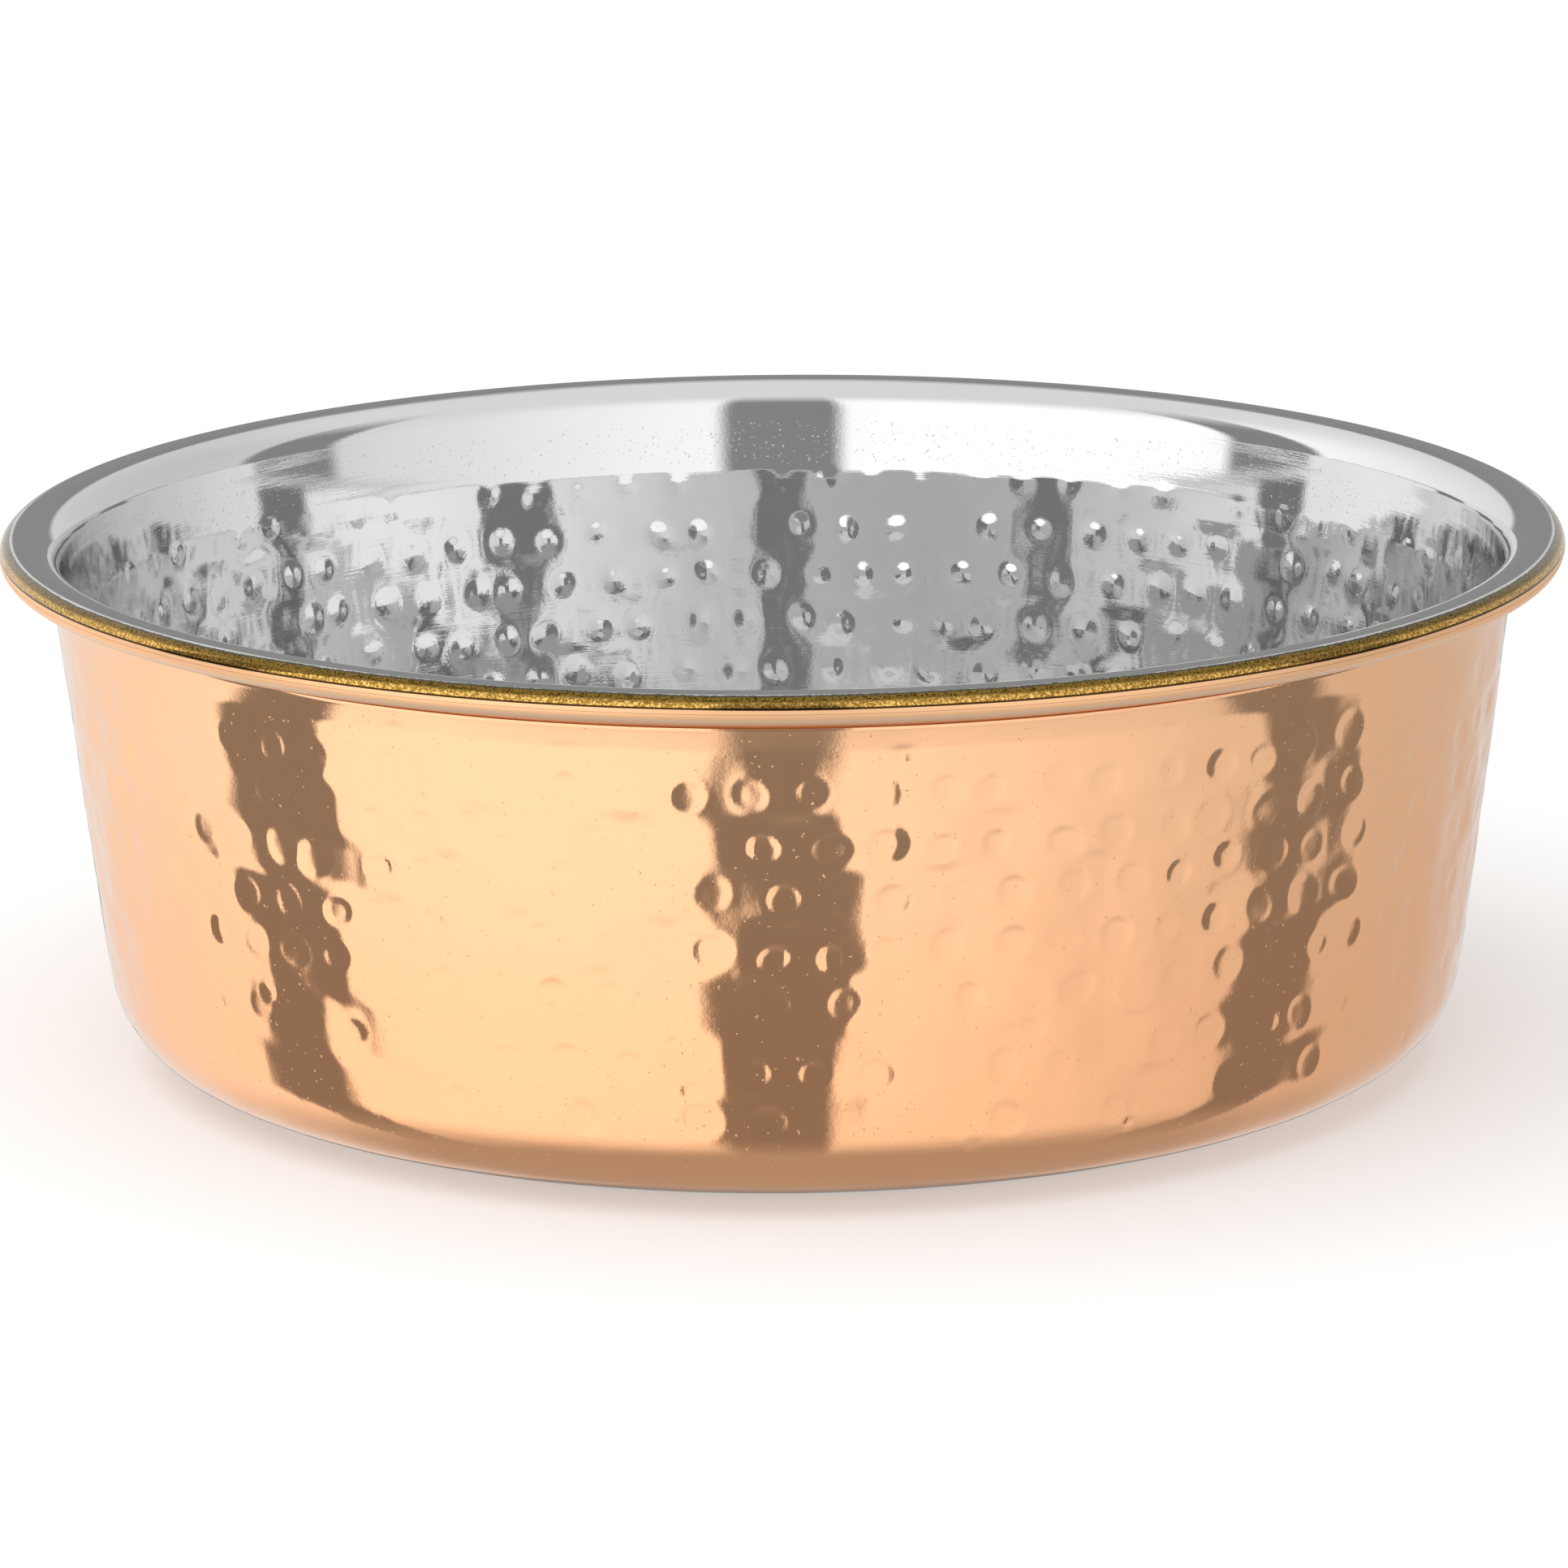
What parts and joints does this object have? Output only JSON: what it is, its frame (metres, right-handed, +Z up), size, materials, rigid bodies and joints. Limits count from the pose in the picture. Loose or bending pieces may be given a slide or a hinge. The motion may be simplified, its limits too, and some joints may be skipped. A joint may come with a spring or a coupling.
{
  "type": "hammered copper bowl",
  "caption": "Wide round metal bowl with a flared, rolled rim, hammered steel inside, hammered copper outside and a non-slip ring underneath.",
  "frame": {"origin": "on the table, at the centre of the bowl's base", "axes": "+Z up along the bowl's axis; the bowl is round, so +X and +Y are free"},
  "size_m": [0.216, 0.216, 0.0735],
  "materials": {
    "steel": "polished, hammered",
    "copper": "polished, hammered copper",
    "rubber": "matte"
  },
  "bodies": {
    "root": {"steel_bowl": "steel", "copper_outer_layer": "copper", "rubber_base_ring": "rubber"}
  },
  "joints": []
}
